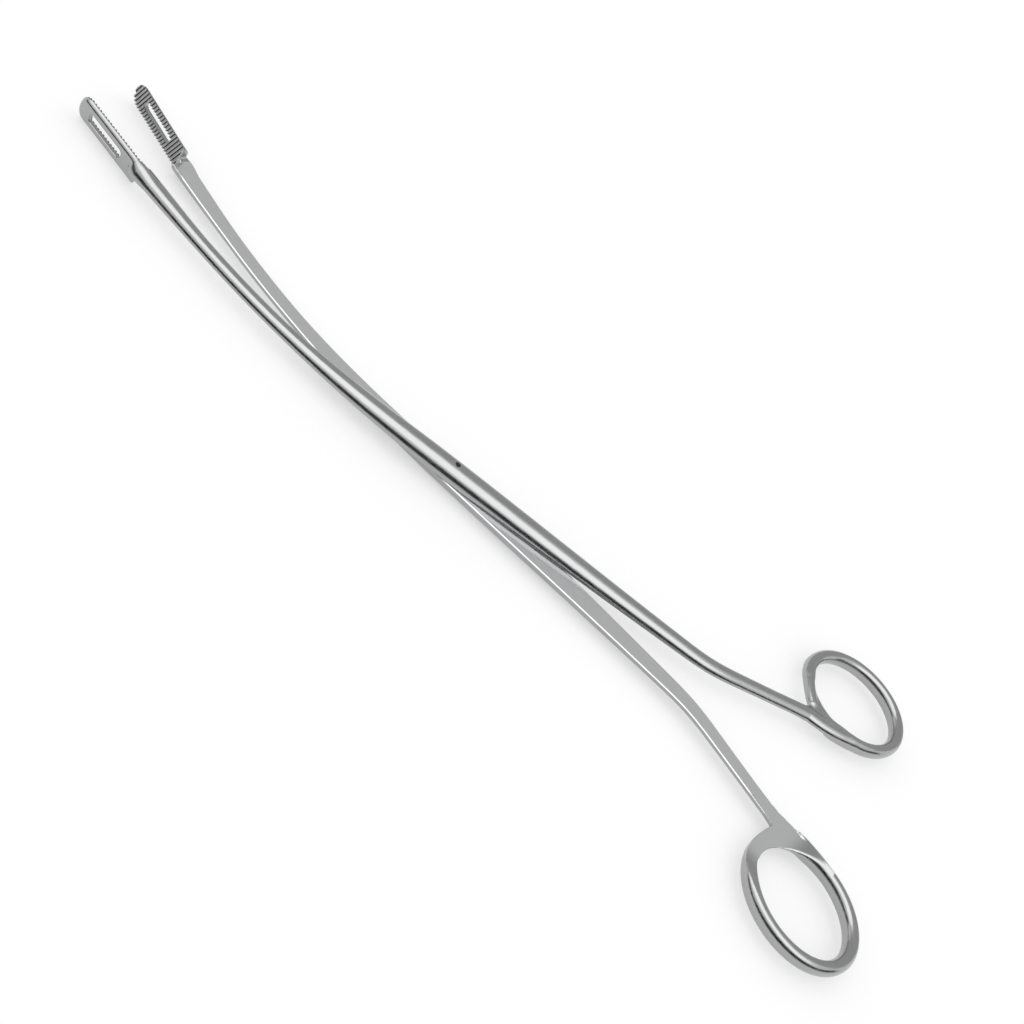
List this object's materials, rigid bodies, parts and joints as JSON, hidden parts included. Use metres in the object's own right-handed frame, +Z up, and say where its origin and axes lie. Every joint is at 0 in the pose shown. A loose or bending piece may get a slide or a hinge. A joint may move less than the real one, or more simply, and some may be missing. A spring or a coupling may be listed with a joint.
{
  "type": "kidney stone forceps",
  "caption": "Slim surgical stone forceps: crossed half-round arms on a pin, curved, with long serrated windowed jaws and oval finger rings, lying open.",
  "frame": {"origin": "on the surface that the forceps lie on, midway between the tips of the jaws and the ends of the finger rings, on the line that halves the angle between the arms", "axes": "+X along the closed forceps towards the finger rings, +Z up along the axis of the pin, +Y to the upper arm's finger ring"},
  "size_m": [0.2309, 0.0872, 0.0064],
  "materials": {
    "satin_steel": "finely brushed stainless steel, satin with soft bright highlights along the rounded backs",
    "pin_steel": "stainless steel, ground flush, a little darker at its rim"
  },
  "bodies": {
    "lower": {"lower_arm": "satin_steel", "pivot_pin": "pin_steel"},
    "upper": {"upper_arm": "satin_steel"}
  },
  "joints": [
    {"name": "pivot", "type": "hinge", "parent": "lower", "child": "upper", "pos_m": [-0.00485, 0, 0.0032], "axis": [0, 0, 1], "range_deg": [-8.05, 9.9]}
  ]
}
